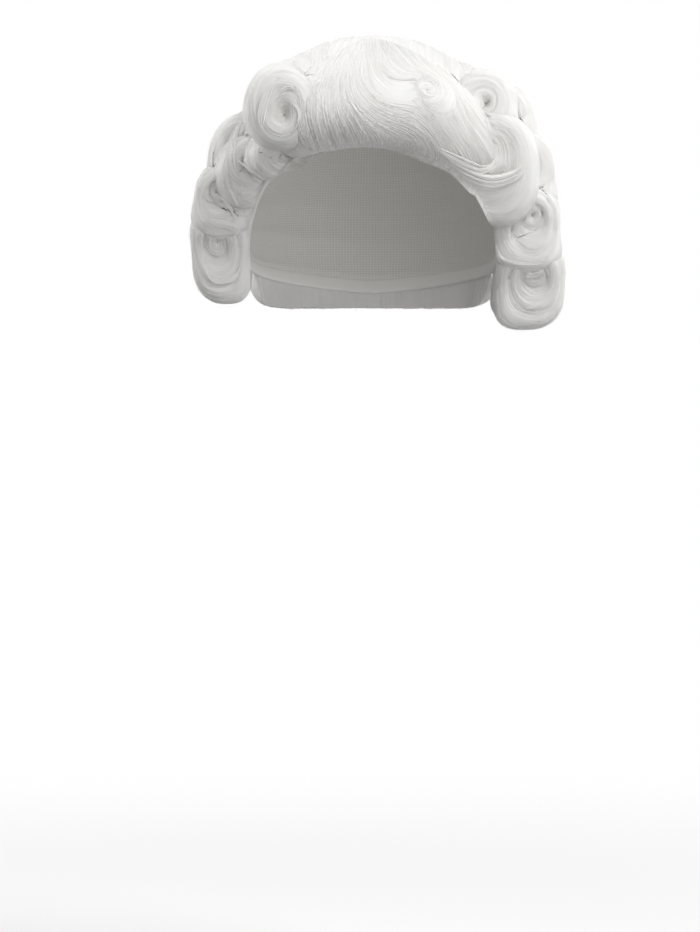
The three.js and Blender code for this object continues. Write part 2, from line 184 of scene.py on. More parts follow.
# Wisps that lie over the locks, drawn from the front: x and z along each in mm, its width
# in mm and how many strands it has
WISPS = [
    ("curl_left_top_hair", [(-49, -13), (-44, -19), (-45, -27)], 2, 12),
    ("curl_left_top_hair", [(-57, -8), (-51, -4), (-46, -6)], 3, 14),
    ("curl_left_top_hair", [(-58, 2), (-64, -10), (-67, -22), (-66, -30)], 5, 30),
    ("curl_left_temple_hair", [(-64, -45), (-58, -51), (-50, -53), (-41, -50), (-36, -45)], 5, 40),
    ("curl_left_ear_hair", [(-80, -24), (-84, -34), (-86, -45), (-85, -54), (-79, -61), (-68, -65)], 6, 40),
    ("curl_left_ear_hair", [(-83, -47), (-74, -54), (-63, -62)], 1, 7),
    ("curl_left_ear_hair", [(-80, -54), (-70, -60), (-63, -66), (-60, -69)], 0.8, 8),
    ("curl_left_outer_hair", [(-75, -24), (-79, -29), (-81, -34)], 1.5, 6),
    ("curl_left_cheek_hair", [(-103, -84), (-95, -86), (-86, -88), (-80, -92)], 4, 36),
    ("curl_left_cheek_hair", [(-93, -70), (-87, -76), (-83, -84)], 2, 10),
    ("curl_left_cheek_hair", [(-87, -65), (-84, -71), (-81, -77)], 2, 8),
    ("curl_left_jaw_hair", [(-79, -108), (-82, -117), (-88, -122)], 1, 6),
    ("curl_left_jaw_hair", [(-103, -111), (-96, -121), (-85, -120), (-79, -111)], 4, 26),
    ("front_roll_hair", [(36, -40), (48, -47), (58, -52), (66, -54), (76, -50)], 7, 50),
    ("curl_right_temple_hair", [(44, -48), (56, -56), (71, -61), (86, -57), (94, -48)], 8, 60),
    ("curl_right_temple_hair", [(55, -52), (68, -54), (74, -47)], 3, 16),
    ("curl_right_cheek_hair", [(74, -97), (77, -107), (87, -111), (100, -111), (108, -105)], 2.5, 20),
    ("curl_right_cheek_hair", [(97, -103), (103, -98)], 0.6, 4),
    ("curl_right_jaw_hair", [(92, -119), (98, -118), (103, -116)], 3, 16),
    ("curl_right_jaw_hair", [(92, -138), (98, -137), (103, -135)], 3, 16),
]


# Noise and interpolation

def smooth(t):
    t = np.clip(t, 0, 1)
    return t * t * (3 - 2 * t)


def noise(u, v, seed, period=None, twist=0):
    """Smooth noise from 0 to 1. With a period, v repeats after it, moved twist cells along u."""
    size = 256
    table = np.random.default_rng(seed).random((size, size))
    iu, iv = np.floor(u).astype(int), np.floor(v).astype(int)
    fu, fv = smooth(u - iu), smooth(v - iv)

    def cell(i, j):
        if period:
            i = i - twist * (j // period)
            j = j % period
        return table[i % size, j % size]

    low = cell(iu, iv) * (1 - fu) + cell(iu + 1, iv) * fu
    high = cell(iu, iv + 1) * (1 - fu) + cell(iu + 1, iv + 1) * fu
    return low * (1 - fv) + high * fv


def furrow(n):
    """From 0 on the back of a lock to about 1 in the soft furrow beside it."""
    return np.clip(1 - np.sqrt((2 * n - 1) ** 2 + 0.008), 0, 1) ** 2


def furrows(u, v, seed, scales):
    """Depth below the locks' backs: 0 on a back, down to the sum of the depths."""
    depth = np.zeros(np.broadcast(u, v).shape)
    for k, (width, run, deep) in enumerate(scales):
        n = noise(u / width + 17.3 * k, v / run + 5.1 * k, seed + k)
        depth = depth + deep * furrow(n)
    return depth


def turned_furrows(u, turns, seed, scales, pitch):
    """The same for hair wound round a curl: turns counts them, and pitch is the lead of one."""
    depth = np.zeros(np.broadcast(u, turns).shape)
    for k, (width, per_turn, deep) in enumerate(scales):
        period = max(2, round(3 * per_turn))
        twist = round(pitch / width)
        n = noise(u / width + twist * turns + 9.7 * k, turns * period, seed + k, period, twist)
        depth = depth + deep * furrow(n)
    return depth


def between(table, column, value):
    """Smooth value of a table's column at a turn, as the frame's own tables are read."""
    keys = np.array(table["turn"], float)
    steps = np.array(table[column], float)
    i = np.clip(np.searchsorted(keys, value, side="left") - 1, 0, len(keys) - 2)
    t = np.clip((value - keys[i]) / (keys[i + 1] - keys[i]), 0, 1)
    before, after = np.maximum(i - 1, 0), np.minimum(i + 2, len(keys) - 1)
    slope_in = (steps[i + 1] - steps[before]) / 2
    slope_out = (steps[after] - steps[i]) / 2
    a = 2 * steps[i] - 2 * steps[i + 1] + slope_in + slope_out
    b = -3 * steps[i] + 3 * steps[i + 1] - 2 * slope_in - slope_out
    return ((a * t + b) * t + slope_in) * t + steps[i]


def unit(v):
    return v / np.maximum(np.linalg.norm(v, axis=-1, keepdims=True), 1e-12)


def stack(*parts):
    return np.stack(np.broadcast_arrays(*parts), -1)


def reach(ray, half, squareness):
    return (np.abs(ray / half) ** squareness).sum(-1) ** (-1 / squareness)


def push_out(points):
    """Moves points that lie inside the head and cap out to their surface."""
    centre = np.array([0, 0, -CAP_HALF[2]])
    away = points - centre
    length = np.linalg.norm(away, axis=-1, keepdims=True)
    ray = away / np.maximum(length, 1e-9)
    limit = reach(ray, CAP_HALF, CAP_SQUARENESS)[..., None] + CAP_WALL + CLEARANCE
    return centre + ray * np.maximum(length, limit)


def push_aside(points):
    """The same, but level, for what hangs in front of the forehead."""
    level = np.clip(np.abs(points[..., 2] / CAP_HALF[2] + 1), 0, 1)
    room = (1 - level ** CAP_SQUARENESS) ** (1 / CAP_SQUARENESS)
    flat = points[..., :2]
    length = np.maximum(np.linalg.norm(flat, axis=-1), 1e-9)
    ray = flat / length[..., None]
    limit = reach(ray, CAP_HALF[:2], CAP_SQUARENESS) * room + CAP_WALL + CLEARANCE
    grow = np.where(room > 0, np.maximum(length, limit), length) / length
    return stack(flat[..., 0] * grow, flat[..., 1] * grow, points[..., 2])


def steps_of(grid, closed):
    """Differences along the rows and columns of a grid."""
    if closed:
        return np.gradient(grid, axis=0), (np.roll(grid, -1, 1) - np.roll(grid, 1, 1)) / 2
    return np.gradient(grid, axis=0), np.gradient(grid, axis=1)


def normals_of(grid, closed, inside):
    """Unit normals of a grid of points that face away from the points inside it."""
    normals = unit(np.cross(*steps_of(grid, closed)))
    return normals * (1 if ((grid - inside) * normals).sum() >= 0 else -1)


def blurred(values, closed):
    """A grid of values, evened out a little with its neighbours."""
    for _ in range(3):
        padded = np.pad(values, ((1, 1), (0, 0)), mode="edge")
        values = (padded[:-2] + 2 * padded[1:-1] + padded[2:]) / 4
        if closed:
            values = (np.roll(values, 1, 1) + 2 * values + np.roll(values, -1, 1)) / 4
        else:
            padded = np.pad(values, ((0, 0), (1, 1)), mode="edge")
            values = (padded[:, :-2] + 2 * padded[:, 1:-1] + padded[:, 2:]) / 4
    return values


def walked(points):
    """Length along a line of points up to each."""
    return np.concatenate([[0], np.cumsum(np.linalg.norm(np.diff(points, axis=0), axis=-1))])


# Meshes

class Lay:
    """A form of hair before it is a mesh: a grid, and the furrows and strands that it gets."""

    def __init__(self, name, node, grid, inside, closed, coords, depth, tone, strands,
                 push=push_out, sink=0.0, swell=1.0):
        self.name, self.node, self.grid, self.inside, self.closed = name, node, grid, inside, closed
        self.coords, self.depth, self.tone, self.strands, self.push = coords, depth, tone, strands, push
        self.base, self.sink, self.swell = grid, sink, swell

    def tree(self):
        """The form as a tree to look up what is near it."""
        grid = self.grid[::2, ::2]
        rows, columns = grid.shape[:2]
        index = np.arange(rows * columns).reshape(rows, columns)
        if self.closed:
            index = np.concatenate([index, index[:, :1]], 1)
        faces = np.stack([index[:-1, :-1], index[1:, :-1], index[1:, 1:], index[:-1, 1:]], -1)
        faces = faces.reshape(-1, 4)
        across = np.cross(*steps_of(self.grid, self.closed))
        if ((self.grid - self.inside) * across).sum() < 0:
            faces = faces[:, ::-1]
        return BVHTree.FromPolygons(grid.reshape(-1, 3).tolist(), faces.tolist())

    def merged(self, others, trees):
        """The grid, swollen where it runs into the others."""
        points = self.grid.reshape(-1, 3)
        amount, pull = np.zeros(len(points)), np.zeros_like(points)
        for other in others:
            low, high = other.grid.min((0, 1)) - MERGE, other.grid.max((0, 1)) + MERGE
            for i in np.nonzero(((points > low) & (points < high)).all(1))[0]:
                normal, _, distance = trees[other.name].find_nearest(points[i].tolist(), MERGE)[1:]
                if distance is not None and MERGE - distance > amount[i]:
                    amount[i], pull[i] = MERGE - distance, normal
        shape = self.grid.shape[:2]
        amount = blurred((amount ** 2 / MERGE / 4).reshape(shape), self.closed) * self.swell
        normals = normals_of(self.grid, self.closed, self.inside)
        toward = unit(normals + 0.6 * pull.reshape(self.grid.shape))
        return self.grid + toward * amount[..., None]

    def flow(self):
        """Rows and columns that the hair crosses for each metre that it runs."""
        across_row, across_column = np.gradient(self.coords[..., 0])
        row, column = steps_of(self.grid, self.closed)
        step = column * across_row[..., None] - row * across_column[..., None]
        length = np.copysign(np.maximum(np.linalg.norm(step, axis=-1), 1e-12), across_row)
        return stack(-across_column / length, across_row / length)

    def hair(self):
        """The mesh with its furrows and strands."""
        normals = normals_of(self.grid, self.closed, self.inside)
        backs = self.push(self.grid - normals * self.depth[..., None])
        points = self.push(self.grid - normals * (self.depth + self.sink)[..., None])
        # Painted shade: the colour is made darker in the furrows between locks, the deeper the darker.
        tone = self.tone * (1 - 0.12 * np.clip(self.depth / (1.5 * MM), 0, 1))
        made = Hair(self.name)
        if self.closed:
            made.add_tube(points, self.coords, tone)
        else:
            backing = self.push(self.base - BACKING * unit(self.base - self.inside))
            made.add_sheet(points, backing, self.coords, tone)
        made.lay_strands(backs, normals, self.flow(), tone, self.closed, **self.strands)
        return made


class Hair:
    """A piece's mesh as it grows: closed grids and the strands on them."""

    def __init__(self, name):
        self.name = name
        self.points, self.faces, self.coords, self.shades, self.looks = [], [], [], [], []
        self.count = 0

    def add(self, points, faces, coords, shades, look=0):
        self.points.append(points.reshape(-1, 3))
        self.faces.append(faces + self.count)
        self.looks.append(np.full(len(faces), look, np.int32))
        self.coords.append(coords.reshape(-1, 2))
        self.shades.append(shades.reshape(-1))
        self.count += points.reshape(-1, 3).shape[0]

    def add_tube(self, points, coords, shades):
        """A grid whose columns close on themselves, with both end rows filled."""
        rows, columns = points.shape[:2]
        index = np.arange(rows * columns).reshape(rows, columns)
        ring = np.concatenate([index, index[:, :1]], 1)
        a, b, c, d = ring[:-1, :-1], ring[:-1, 1:], ring[1:, 1:], ring[1:, :-1]
        walls = np.stack([a, d, c, b], -1).reshape(-1, 4)
        half = columns // 2
        j = np.arange(half - 1)
        ends = []
        for row, flip in ((index[0], False), (index[-1], True)):
            strip = np.stack([row[j], row[j + 1], row[columns - 2 - j], row[columns - 1 - j]], -1)
            ends.append(strip[:, ::-1] if flip else strip)
        faces = np.concatenate([walls, *ends])
        corners = points.reshape(-1, 3)[faces] - points.mean((0, 1))
        halves = np.concatenate([corners[:, [0, 1, 2]], corners[:, [0, 2, 3]]])
        if np.linalg.det(halves).sum() < 0:
            faces = faces[:, ::-1]
        self.add(points, faces, coords, shades)

    def add_sheet(self, points, backing, coords, shades):
        """A grid closed all round with a coarser backing."""
        rows, columns = points.shape[:2]
        below = np.linspace(columns - 1, 0, BACKING_COLUMNS)[None] + np.zeros((rows, 1))
        row = np.arange(rows)[:, None] + 0.0 * below
        self.add_tube(
            np.concatenate([points, sample(backing, row, below, False)], 1),
            np.concatenate([coords, sample(coords, row, below, False)], 1),
            np.concatenate([shades, 0.8 + 0 * below], 1),
        )

    def lay_strands(self, grid, normals, flow, tone, closed, rng, rows, columns, lengths):
        """Strands that start at given rows and columns of a grid and follow its flow."""
        count = len(rows)
        t = np.linspace(0, 1, STRAND_POINTS)
        length = (lengths[0] + (lengths[1] - lengths[0]) * rng.random(count)) * MM
        spots = [np.stack([rows, columns], 1)]
        across = np.maximum(np.abs(sample(flow, rows, columns, closed)[:, 1]), 1e-6)
        room = (0.5 * grid.shape[1] if closed else grid.shape[1] - 1.5 - columns) / across
        length = np.clip(length, 2 * MM, np.maximum(room, 2 * MM))
        for _ in t[1:]:
            onward = sample(flow, spots[-1][:, 0], spots[-1][:, 1], closed)
            spots.append(spots[-1] + onward * (length / (STRAND_POINTS - 1))[:, None])
        row, column = np.moveaxis(np.stack(spots, 1), 2, 0)
        row = row + np.cumsum(rng.normal(0, 0.7, row.shape), 1) / STRAND_POINTS ** 0.5
        height = (0.1 + 0.5 * rng.random(count) ** 2) * MM
        loft = -0.15 * MM + (height[:, None] + 0.15 * MM) * np.sin(math.pi * t) ** 0.7
        free = rng.random(count) < FREE_SHARE
        loft = np.where(free[:, None], (0.8 + 2.2 * rng.random(count)[:, None]) * MM * t ** 1.6, loft)
        normal = unit(sample(normals, row, column, closed))
        paths = sample(grid, row, column, closed) + normal * loft[..., None]
        size = STRAND_RADIUS * (0.7 + 0.6 * rng.random(count)) * np.where(free, 0.6, 1)
        # The strands take the colour of the surface under them, with its painted shade in furrows and curl
        # hollows, and vary in tone at random.
        shade = sample(tone[..., None], row, column, closed)[..., 0] * (0.91 + 0.2 * rng.random((count, 1)))
        self.add_strands(paths, normal, size, shade)

    def add_strands(self, paths, normals, radius, shade):
        """Flat three-sided tubes with pointed ends along paths[strand, point]."""
        count, steps = paths.shape[:2]
        tangent = unit(np.gradient(paths, axis=1))
        side = unit(np.cross(tangent, normals))
        up = np.cross(side, tangent)
        taper = np.clip(5 * np.minimum(np.linspace(0, 1, steps), np.linspace(1, 0, steps)), 0.05, 1)
        size = (np.asarray(radius).reshape(-1, 1) * taper)[..., None]
        rings = []
        for aside, rise in ((0, 0.45), (-1, -0.15), (1, -0.15)):
            rings.append(paths + size * (aside * side + rise * up))
        points = np.stack(rings, 2)
        index = np.arange(count * steps * 3).reshape(count, steps, 3)
        turned = np.roll(index, -1, 2)
        quads = np.stack([index[:, :-1], index[:, 1:], turned[:, 1:], turned[:, :-1]], -1).reshape(-1, 4)
        across = np.arange(count)[:, None, None] * 0.37 * MM + 0.0 * index
        along = np.arange(steps)[None, :, None] * 3 * MM + 0.0 * index
        self.add(points, quads, stack(across, along), shade[..., None] + 0.0 * index, 1)

    def piece(self, materials, *nodes):
        points = np.concatenate(self.points)
        faces = np.concatenate(self.faces)
        mesh = bpy.data.meshes.new(self.name)
        mesh.vertices.add(len(points))
        mesh.vertices.foreach_set("co", points.astype(np.float32).ravel())
        mesh.loops.add(faces.size)
        mesh.loops.foreach_set("vertex_index", faces.astype(np.int32).ravel())
        mesh.polygons.add(len(faces))
        mesh.polygons.foreach_set("loop_start", np.arange(0, faces.size, 4, dtype=np.int32))
        looks = np.concatenate(self.looks)
        mesh.polygons.foreach_set("use_smooth", looks == 0)
        mesh.update(calc_edges=True)
        coords = np.concatenate(self.coords)[faces.ravel()]
        layer = mesh.uv_layers.new(name="strand")
        layer.data.foreach_set("uv", coords.astype(np.float32).ravel())
        shade = mesh.attributes.new("shade", "FLOAT", "POINT")
        shade.data.foreach_set("value", np.concatenate(self.shades).astype(np.float32))
        for material in materials:
            mesh.materials.append(material)
        mesh.polygons.foreach_set("material_index", looks)
        mesh.validate()
        ob = bpy.data.objects.new(self.name, mesh)
        bpy.context.collection.objects.link(ob)
        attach(ob, "root")
        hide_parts(*nodes)
        return ob


def sample(grid, row, column, closed):
    """Values of a grid at fractional rows and columns."""
    rows, columns = grid.shape[:2]
    row = np.clip(row, 0, rows - 1.001)
    column = column % columns if closed else np.clip(column, 0, columns - 1.001)
    i, j = np.floor(row).astype(int), np.floor(column).astype(int)
    fi, fj = (row - i)[..., None], (column - j)[..., None]
    next_j = (j + 1) % columns
    low = grid[i, j] * (1 - fj) + grid[i, next_j] * fj
    high = grid[i + 1, j] * (1 - fj) + grid[i + 1, next_j] * fj
    return low * (1 - fi) + high * fi


# Materials

def material_tree(name):
    material = bpy.data.materials.new(name)
    material.use_nodes = True
    tree = material.node_tree
    return material, tree, tree.nodes["Principled BSDF"]


def strand_noise(tree, scale):
    """Noise drawn out along the strands, from the strand coordinates."""
    coords = tree.nodes.new("ShaderNodeUVMap")
    coords.uv_map = "strand"
    mapping = tree.nodes.new("ShaderNodeMapping")
    mapping.inputs["Scale"].default_value = (*scale, 1)
    texture = tree.nodes.new("ShaderNodeTexNoise")
    texture.inputs["Scale"].default_value = 1
    texture.inputs["Detail"].default_value = 2
    tree.links.new(coords.outputs["UV"], mapping.inputs["Vector"])
    tree.links.new(mapping.outputs["Vector"], texture.inputs["Vector"])
    return texture.outputs["Fac"]


def math_node(tree, operation, *inputs):
    node = tree.nodes.new("ShaderNodeMath")
    node.operation = operation
    for socket, value in zip(node.inputs, inputs):
        if isinstance(value, (int, float)):
            socket.default_value = value
        else:
            tree.links.new(value, socket)
    return node.outputs[0]


def ramp(tree, value, start, end, dark, light):
    node = tree.nodes.new("ShaderNodeValToRGB")
    node.color_ramp.elements[0].position = start
    node.color_ramp.elements[0].color = (*dark, 1)
    node.color_ramp.elements[1].position = end
    node.color_ramp.elements[1].color = (*light, 1)
    tree.links.new(value, node.inputs["Fac"])
    return node.outputs["Color"]


def bump(tree, shader, height, strength, distance):
    node = tree.nodes.new("ShaderNodeBump")
    node.inputs["Strength"].default_value = strength
    node.inputs["Distance"].default_value = distance
    tree.links.new(height, node.inputs["Height"])
    tree.links.new(node.outputs["Normal"], shader.inputs["Normal"])


def hair_material(name, through):
    """White hair. through is how much light goes through it, which a single strand has none of."""
    material, tree, shader = material_tree(name)
    fine = strand_noise(tree, (1 / (0.5 * MM), 1 / (22 * MM)))
    middle = strand_noise(tree, (1 / (1.4 * MM), 1 / (34 * MM)))
    broad = strand_noise(tree, (1 / (3.6 * MM), 1 / (60 * MM)))
    both = math_node(tree, "MULTIPLY_ADD", middle, 0.7, math_node(tree, "MULTIPLY", fine, 0.3))
    height = math_node(tree, "ADD", both, broad)
    shade = tree.nodes.new("ShaderNodeAttribute")
    shade.attribute_name = "shade"
    painted = math_node(tree, "MULTIPLY", shade.outputs["Fac"], 0.7)
    # The colour follows the shade attribute, which holds painted shade in furrows and curl hollows and some
    # random tone. It also follows the bump height: strands vary in tone at random, and the low gaps between
    # them are painted darker as shade.
    tone = math_node(tree, "MULTIPLY_ADD", height, 0.3, painted)
    colour = ramp(tree, tone, 0.5, 1.08, (0.72, 0.706, 0.675), (0.985, 0.978, 0.96))
    tree.links.new(colour, shader.inputs["Base Color"])
    bump(tree, shader, height, 1.0, 0.3 * MM)
    tangent = tree.nodes.new("ShaderNodeTangent")
    tangent.direction_type = "UV_MAP"
    tangent.uv_map = "strand"
    tree.links.new(tangent.outputs["Tangent"], shader.inputs["Tangent"])
    shader.inputs["Anisotropic"].default_value = 0.55
    shader.inputs["Roughness"].default_value = 0.48
    shader.inputs["Specular IOR Level"].default_value = 0.5
    shader.inputs["Sheen Weight"].default_value = 0.15
    shader.inputs["Subsurface Weight"].default_value = through
    shader.inputs["Subsurface Radius"].default_value = (1.0, 0.98, 0.96)
    shader.inputs["Subsurface Scale"].default_value = 5 * MM
    return material


def cap_material():
    material, tree, shader = material_tree("woven_net")
    coords = tree.nodes.new("ShaderNodeUVMap")
    coords.uv_map = "strand"
    mapping = tree.nodes.new("ShaderNodeMapping")
    mapping.inputs["Scale"].default_value = (1 / (1.5 * MM), 1 / (1.5 * MM), 1)
    net = tree.nodes.new("ShaderNodeTexVoronoi")
    net.feature = "DISTANCE_TO_EDGE"
    net.inputs["Scale"].default_value = 1
    net.inputs["Randomness"].default_value = 0.2
    tree.links.new(coords.outputs["UV"], mapping.inputs["Vector"])
    tree.links.new(mapping.outputs["Vector"], net.inputs["Vector"])
    bound = tree.nodes.new("ShaderNodeAttribute")
    bound.attribute_name = "shade"
    open_net = math_node(tree, "MULTIPLY", net.outputs["Distance"], 5)
    thread = math_node(tree, "MINIMUM", open_net, bound.outputs["Fac"])
    colour = ramp(tree, thread, 0.1, 1, (0.93, 0.92, 0.9), (0.8, 0.785, 0.75))
    tree.links.new(colour, shader.inputs["Base Color"])
    bump(tree, shader, math_node(tree, "SUBTRACT", 1.0, thread), 0.5, 0.25 * MM)
    shader.inputs["Roughness"].default_value = 0.85
    shader.inputs["Sheen Weight"].default_value = 0.2
    return material


# Cap

def head_point(turn, tilt, offset):
    ray = stack(np.sin(tilt) * np.sin(turn), -np.sin(tilt) * np.cos(turn), np.cos(tilt))
    point = ray * (reach(ray, CAP_HALF, CAP_SQUARENESS) + offset)[..., None]
    return point - np.array([0, 0, CAP_HALF[2]])


def tilt_at_drop(turn, drop):
    low, high = np.zeros_like(turn), np.full_like(turn, math.pi)
    for _ in range(30):
        tilt = (low + high) / 2
        above = -head_point(turn, tilt, 0 * tilt)[..., 2] < drop
        low, high = np.where(above, tilt, low), np.where(above, high, tilt)
    return (low + high) / 2


def cap_piece(material):
    """The woven cap: inside and outside walls, a bound edge and rows of sewn weft inside."""
    sides, wall_rows, edge_rows = 144, 56, 24
    weft_rows, weft_height, band = 9, 0.8 * MM, 0.045
    turn = np.linspace(0, 2 * math.pi, sides, endpoint=False)
    from_front = np.abs(np.where(turn > math.pi, turn - 2 * math.pi, turn)) / DEG
    drop = CAP_FRONT_DROP + between(CAP_EDGE, "drop", from_front) * (CAP_NAPE_DROP - CAP_FRONT_DROP)
    edge = tilt_at_drop(turn, drop)
    wall, bound = np.linspace(0.01, 0.93, wall_rows), np.linspace(0.935, 1, edge_rows)
    down = np.concatenate([wall, bound])[:, None]
    tilt = down * edge[None]
    around = turn[None] + 0 * tilt
    weft = np.abs(np.sin(math.pi * weft_rows * down)) ** 8 * weft_height * (down < 1 - band)
    rolled = np.sqrt(np.clip(1 - ((1 - down) / band * 2 - 1) ** 2, 0, 1)) * 0.9 * MM
    inner = head_point(around, tilt, 0 * tilt - np.maximum(weft, rolled))
    outer = head_point(around, tilt, CAP_WALL + 0 * tilt)
    grid = np.concatenate([outer, inner[::-1]])
    coords = stack(around * CAP_HALF[0], tilt * CAP_HALF[2])
    plain = 1 - smooth((down - 1 + band) / 0.01) + 0 * tilt
    cap = Hair("woven_cap")
    cap.add_tube(grid, np.concatenate([coords, coords[::-1]]), np.concatenate([plain, plain[::-1]]))
    return cap.piece([material], "wig_cap")


# Side curls

def curl_centre(curl, at):
    bow = curl["bow"] * CURL_RADIUS * np.sin(math.pi * np.minimum(1, 1.1 * at))
    tuck = curl["tuck"] * CURL_RADIUS * at * at
    return stack(
        curl["side"] * (curl["across"] * CAP_HALF[0] + bow - tuck),
        -curl["forward"] * CAP_HALF[1] + at * curl["long"] * CURL_LENGTH,
        -curl["down"] * SIDE_FALL + curl["rise"] * CURL_RADIUS * at,
    )


def curl_rows(curl):
    """Rows from the tucked back end, along the curl, round its rim and into its open end."""
    rim = curl["rim"]
    rim_at = rim * CURL_RADIUS / (curl["long"] * CURL_LENGTH)
    back = np.linspace(0.12, 1, 8)[:-1]
    body = np.linspace(1, rim_at, 52)
    corner = np.linspace(0, math.pi / 2, 21)[1:]
    face = np.linspace(1 - rim, 0.02, 46)[1:]
    at = np.concatenate([1 + 0 * back, body, rim_at * (1 - np.sin(corner)), 0 * face])
    body_girth = between(CURL_BODY, "girth", body)
    girth = np.concatenate([back * body_girth[0], body_girth, 1 - rim * (1 - np.cos(corner)), face])
    at[: len(back)] += 0.25 * CURL_RADIUS / (curl["long"] * CURL_LENGTH) * np.sqrt(1 - back ** 2)
    front = at < rim_at * 0.999
    return at[:, None], girth[:, None], front[:, None]


def curl_lay(curl, seed):
    rng = np.random.default_rng(seed)
    sides = 64
    at, girth, front = curl_rows(curl)
    turns = np.linspace(0, 1, sides, endpoint=False)[None]
    angle = math.pi + 2 * math.pi * turns

    step = 0.02
    centre = curl_centre(curl, at[:, 0])
    run = unit(curl_centre(curl, at[:, 0] + step) - curl_centre(curl, at[:, 0] - step))
    across = unit(np.cross(run, [0, 0, 1])) * curl["side"]
    up = unit(np.cross(across, run) * curl["side"])
    half_across = curl["wide"] * CURL_RADIUS
    half_up = curl["tall"] * CURL_RADIUS

    # Layers wound inwards, and the hollow of the innermost turn
    into = np.where(front, 1 - girth, 0)
    waver = noise(into * 3 + seed, turns * 3, seed + 5, 3) - 0.5
    phase = into / curl["layer"] + turns + 0.2 * waver
    groove = (0.5 + 0.5 * np.cos(2 * math.pi * phase)) ** 2 * curl["relief"]
    strength = 0.4 + noise(into * 4 + seed, turns * 3, seed + 6, 3)
    on_face = smooth((into - 0.06) / 0.2)
    hollow = smooth((curl["hole"] + 0.12 - girth) / (curl["hole"] + 0.15)) * curl["hole"] * 0.9 * front
    calm = smooth((girth - 0.16) / 0.2)
    forward = curl["cone"] * into * 1.1 - on_face * 0.13 * groove * strength * calm - hollow
    seam = SEAM_STEP * (turns - 0.5) * (1 - on_face)
    lump = 1 + 0.07 * (noise(at * 5 + seed, turns * 3, seed, 3) - 0.5) - seam
    ray = stack(np.cos(angle), np.sin(angle))
    square = 2 + (curl["square"] - 2) * girth ** 2
    round_off = (np.abs(ray[..., 0]) ** square + np.abs(ray[..., 1]) ** square) ** (-1 / square)
    share = girth * round_off * lump
    tall = (into * curl["eye_z"] + share * ray[..., 1]) * half_up
    wide = (into * curl["eye_x"] + share * ray[..., 0]) * half_across
    wide = wide - curl["skew"] * np.minimum(tall, 0) ** 2 / half_up * girth
    shape = (
        centre[:, None] + across[:, None] * wide[..., None] + up[:, None] * tall[..., None]
        - run[:, None] * (forward * CURL_RADIUS + 0 * turns)[..., None]
    )
    inside = centre[:, None] + run[:, None] * 0.5 * CURL_RADIUS * front[..., None]
    along = walked(shape[:, sides // 2])[:, None]
    pitch = curl["layer"] * CURL_RADIUS
    spacing = np.linalg.norm(np.gradient(shape, axis=0), axis=-1)
    depth = turned_furrows(along, turns, seed, CURL_LOCK_SCALES, pitch) * smooth(spacing / (0.25 * MM))
    ring = 2 * math.pi * math.sqrt(half_across * half_up)
    # Painted shade: the colour is darker in the grooves between the wound layers of the open end, and much
    # darker towards the hollow of the innermost turn.
    eye = EYE_SHADE * curl["hole"] * smooth((0.42 - girth) / 0.4) * front
    tone = (1 - 0.06 * on_face * groove) * (1 - eye)
    count = round(CURL_STRANDS * math.sqrt(curl["wide"] * curl["tall"]) * (0.4 + 0.6 * curl["long"]))
    begin, end = along[8, 0], along[-7, 0]
    starts = begin + (end - begin) * rng.random(count) ** 0.5
    strands = {
        "rng": rng, "rows": np.interp(starts, along[:, 0], np.arange(len(along))),
        "columns": rng.random(count) * sides, "lengths": (14, 48),
    }
    return Lay(curl["name"] + "_hair", curl["name"], shape, inside, True,
               stack(along + pitch * turns, turns * ring), depth, tone, strands)


# Rolls and combed hair

def dome_reach(turn, height):
    """How far out the combed dome is at a height, in the direction turn."""
    level = np.clip((height + DOME_DROP) / DOME_HALF[2], 0, 1)
    room = (1 - level ** DOME_SQUARENESS) ** (1 / DOME_SQUARENESS)
    ray = stack(np.sin(turn * DEG), -np.cos(turn * DEG))
    return reach(ray, DOME_HALF[:2], DOME_SQUARENESS) * room - DOME_SHIFT * np.cos(turn * DEG)


def roll_point(turn, angle):
    """A point of the front roll, whose top leans back to the dome. angle goes round its section."""
    low = -ROLL_HAIRLINE * between(ROLL_SECTIONS, "low", turn)
    high = ROLL_RISE * between(ROLL_SECTIONS, "high", turn)
    deep = ROLL_DEPTH * between(ROLL_SECTIONS, "deep", turn)
    across, forward = np.sin(turn * DEG), np.cos(turn * DEG)
    centre = stack(ROLL_PATH[0] * across, -ROLL_PATH[1] * forward, (low + high) / 2)
    path_reach = ROLL_PATH[0] * across ** 2 + ROLL_PATH[1] * forward ** 2
    lean = np.maximum(path_reach - dome_reach(turn, high), 0)
    out = deep * np.cos(angle) - lean * ((1 + np.sin(angle)) / 2) ** ROLL_LEAN_POWER
    rise = stack(0 * angle, 0 * angle, (high - low) / 2 * np.sin(angle))
    return centre + stack(across, -forward, 0 * turn) * out[..., None] + rise


